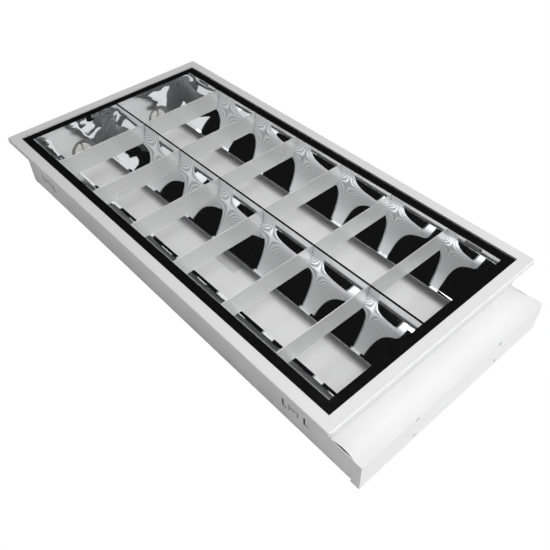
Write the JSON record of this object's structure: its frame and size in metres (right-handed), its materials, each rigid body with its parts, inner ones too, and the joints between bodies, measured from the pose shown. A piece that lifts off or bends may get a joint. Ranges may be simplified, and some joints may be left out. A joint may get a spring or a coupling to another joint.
{
  "type": "recessed troffer light",
  "caption": "Recessed ceiling light with a mirror louvre in a white tray, an end box for the lampholders and a louvre that drops and swings open.",
  "frame": {"origin": "centre of the flange's face, on the plane that seats on the ceiling grid", "axes": "+X along the light towards the end box, +Y across towards the hinge side, +Z out of the louvre"},
  "size_m": [0.6392, 0.31, 0.075],
  "materials": {
    "painted_sheet": "white powder coat, satin",
    "rim": "gloss black",
    "mirror_sheet": "mirror-bright aluminium",
    "blade_sheet": "satin aluminium with fine lengthwise ridges",
    "holder_plastic": "white, satin gloss",
    "rotor_plastic": "white, satin gloss",
    "contact_metal": "spring bronze",
    "ballast_steel": "zinc plated",
    "connector_plastic": "off-white",
    "grommet_rubber": "black, matt",
    "lamp_wire": "white sleeving",
    "supply_wire": "brown sleeving",
    "spring_steel": "dark spring steel",
    "zinc_steel": "zinc plated"
  },
  "bodies": {
    "housing": {"ballast_case": "ballast_steel", "ballast_connectors": "connector_plastic", "ballast_lid": "ballast_steel", "body_tray": "painted_sheet", "cable_grommet": "grommet_rubber", "catch_bracket_left": "zinc_steel", "catch_bracket_right": "zinc_steel", "end_cap_left": "painted_sheet", "end_cap_right": "painted_sheet", "face_frame": "painted_sheet", "guide_bracket_left": "zinc_steel", "guide_bracket_right": "zinc_steel", "holder_bracket_back": "zinc_steel", "holder_bracket_front": "zinc_steel", "holder_rivets": "zinc_steel", "lamp_contacts": "contact_metal", "lamp_wires": "lamp_wire", "lampholder_left_back": "holder_plastic", "lampholder_left_front": "holder_plastic", "lampholder_right_back": "holder_plastic", "lampholder_right_front": "holder_plastic", "mounting_nuts": "zinc_steel", "nose_cover": "painted_sheet", "supply_wires": "supply_wire", "terminal_block": "connector_plastic", "terminal_screws": "zinc_steel"},
    "hinge_slides": {"hinge_slide_left": "zinc_steel", "hinge_slide_right": "zinc_steel", "hinge_pins": "zinc_steel"},
    "louvre": {"rim_back": "rim", "rim_front": "rim", "rim_left": "rim", "rim_right": "rim", "side_reflector_back": "mirror_sheet", "side_reflector_front": "mirror_sheet", "centre_reflector": "mirror_sheet", "end_reflector_left": "mirror_sheet", "end_reflector_right": "mirror_sheet", "hinge_lugs": "zinc_steel", "catch_lugs": "zinc_steel", "blade_front_1": "blade_sheet", "blade_front_2": "blade_sheet", "blade_front_3": "blade_sheet", "blade_front_4": "blade_sheet", "blade_front_5": "blade_sheet", "blade_front_6": "blade_sheet", "blade_back_1": "blade_sheet", "blade_back_2": "blade_sheet", "blade_back_3": "blade_sheet", "blade_back_4": "blade_sheet", "blade_back_5": "blade_sheet", "blade_back_6": "blade_sheet"},
    "rotor_left_front": {"rotor_left_front": "rotor_plastic"},
    "rotor_left_back": {"rotor_left_back": "rotor_plastic"},
    "rotor_right_front": {"rotor_right_front": "rotor_plastic"},
    "rotor_right_back": {"rotor_right_back": "rotor_plastic"},
    "catch_lever_left": {"catch_lever_left": "spring_steel"},
    "catch_lever_right": {"catch_lever_right": "spring_steel"}
  },
  "joints": [
    {"name": "louvre_drop", "type": "slide", "parent": "housing", "child": "hinge_slides", "axis": [0, 0, 1], "range_m": [0, 0.049]},
    {"name": "louvre_swing", "type": "hinge", "parent": "hinge_slides", "child": "louvre", "pos_m": [0, 0.1314, -0.0047], "axis": [-1, 0, 0], "range_deg": [0, 85]},
    {"name": "rotor_left_front_turn", "type": "hinge", "parent": "housing", "child": "rotor_left_front", "pos_m": [-0.2865, -0.0652, -0.054], "axis": [1, 0, 0], "range_deg": [0, 90]},
    {"name": "rotor_left_back_turn", "type": "hinge", "parent": "housing", "child": "rotor_left_back", "pos_m": [-0.2865, 0.0652, -0.054], "axis": [1, 0, 0], "range_deg": [0, 90]},
    {"name": "rotor_right_front_turn", "type": "hinge", "parent": "housing", "child": "rotor_right_front", "pos_m": [0.3101, -0.0652, -0.054], "axis": [1, 0, 0], "range_deg": [0, 90]},
    {"name": "rotor_right_back_turn", "type": "hinge", "parent": "housing", "child": "rotor_right_back", "pos_m": [0.3101, 0.0652, -0.054], "axis": [1, 0, 0], "range_deg": [0, 90]},
    {"name": "catch_left_press", "type": "hinge", "parent": "housing", "child": "catch_lever_left", "pos_m": [-0.245, -0.1365, -0.047], "axis": [1, 0, 0], "range_deg": [0, 2.5], "stiffness_Nm_per_rad": 2},
    {"name": "catch_right_press", "type": "hinge", "parent": "housing", "child": "catch_lever_right", "pos_m": [0.245, -0.1365, -0.047], "axis": [1, 0, 0], "range_deg": [0, 2.5], "stiffness_Nm_per_rad": 2}
  ]
}
